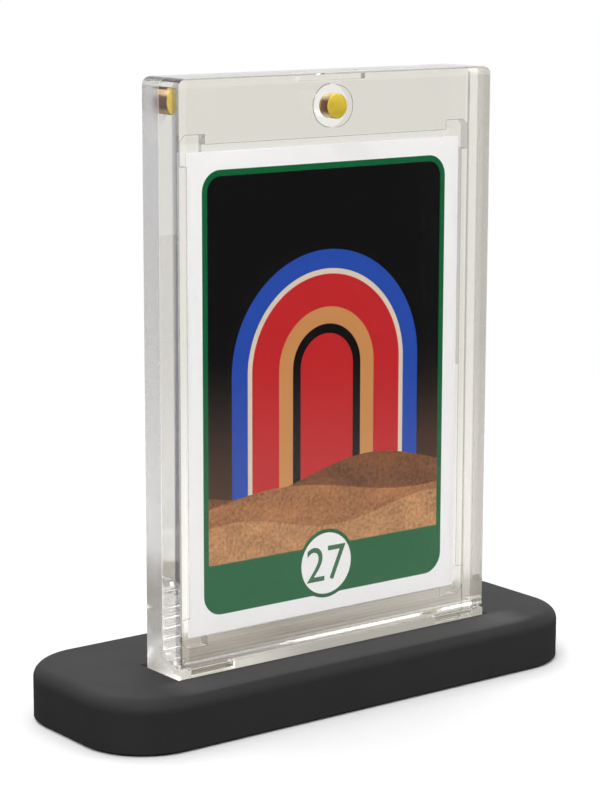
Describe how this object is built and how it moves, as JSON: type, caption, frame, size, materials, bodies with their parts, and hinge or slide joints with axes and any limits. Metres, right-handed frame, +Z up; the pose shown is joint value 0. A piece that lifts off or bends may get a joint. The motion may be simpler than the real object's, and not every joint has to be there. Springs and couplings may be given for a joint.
{
  "type": "trading card display stand",
  "caption": "Clear two-part magnetic holder for one trading card, standing upright in a slot of a low matt black base with rounded ends.",
  "frame": {"origin": "centre of the base's footprint, on the surface that the foot pads rest on", "axes": "+Z up, +X to the right across the card, -Y towards the side that the card faces"},
  "size_m": [0.11, 0.04, 0.1186],
  "materials": {
    "base_plastic": "matt black, finely grained",
    "pad_rubber": "matt dark grey",
    "clear_plastic": "clear and polished",
    "magnet_plating": "gold plated, polished",
    "card_stock": null
  },
  "bodies": {
    "base": {"display_base": "base_plastic", "foot_pad_front_left": "pad_rubber", "foot_pad_front_right": "pad_rubber", "foot_pad_rear_left": "pad_rubber", "foot_pad_rear_right": "pad_rubber"},
    "holder": {"rear_half": "clear_plastic", "rear_magnet": "magnet_plating", "trading_card": "card_stock"},
    "cover": {"front_cover": "clear_plastic", "front_magnet": "magnet_plating"}
  },
  "joints": [
    {"name": "holder_lift", "type": "slide", "parent": "base", "child": "holder", "axis": [0, 0, 1], "range_m": [0, 0.008]},
    {"name": "cover_tilt", "type": "hinge", "parent": "holder", "child": "cover", "pos_m": [0, -0.0092, 0.0129], "axis": [1, 0, 0], "range_deg": [0, 90]}
  ]
}
